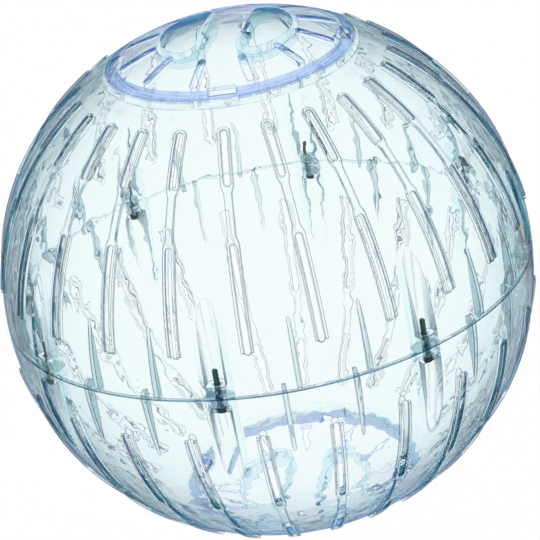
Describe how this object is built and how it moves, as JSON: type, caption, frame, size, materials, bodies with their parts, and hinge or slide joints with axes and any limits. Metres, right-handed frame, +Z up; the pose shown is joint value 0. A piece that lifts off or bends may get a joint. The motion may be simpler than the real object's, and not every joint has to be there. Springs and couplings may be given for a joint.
{
  "type": "hamster ball",
  "caption": "Clear plastic exercise ball in two screwed halves, with slotted walls and a twist-in lid in each pole.",
  "frame": {"origin": "centre of the ball", "axes": "+Z up through the middle of both lids, square to the seam; -Y towards the front, through a screw"},
  "size_m": [0.177, 0.177, 0.177],
  "materials": {
    "shell_plastic": "clear moulded polystyrene with a pale cyan tint",
    "lid_plastic": "clear moulded polystyrene with a pale blue tint",
    "screw_steel": "dark green-black passivated steel"
  },
  "bodies": {
    "ball": {"upper_shell": "shell_plastic", "lower_shell": "shell_plastic", "screw_1": "screw_steel", "screw_2": "screw_steel", "screw_3": "screw_steel", "screw_4": "screw_steel", "screw_5": "screw_steel", "screw_6": "screw_steel", "screw_7": "screw_steel", "screw_8": "screw_steel"},
    "upper_lid": {"top_lid": "lid_plastic"},
    "lower_lid": {"bottom_lid": "lid_plastic"}
  },
  "joints": [
    {"name": "top_lid_lift", "type": "slide", "parent": "ball", "child": "upper_lid", "axis": [0, 0, 1], "range_m": [0, 0.06]},
    {"name": "bottom_lid_lift", "type": "slide", "parent": "ball", "child": "lower_lid", "axis": [0, 0, -1], "range_m": [0, 0.06]}
  ]
}
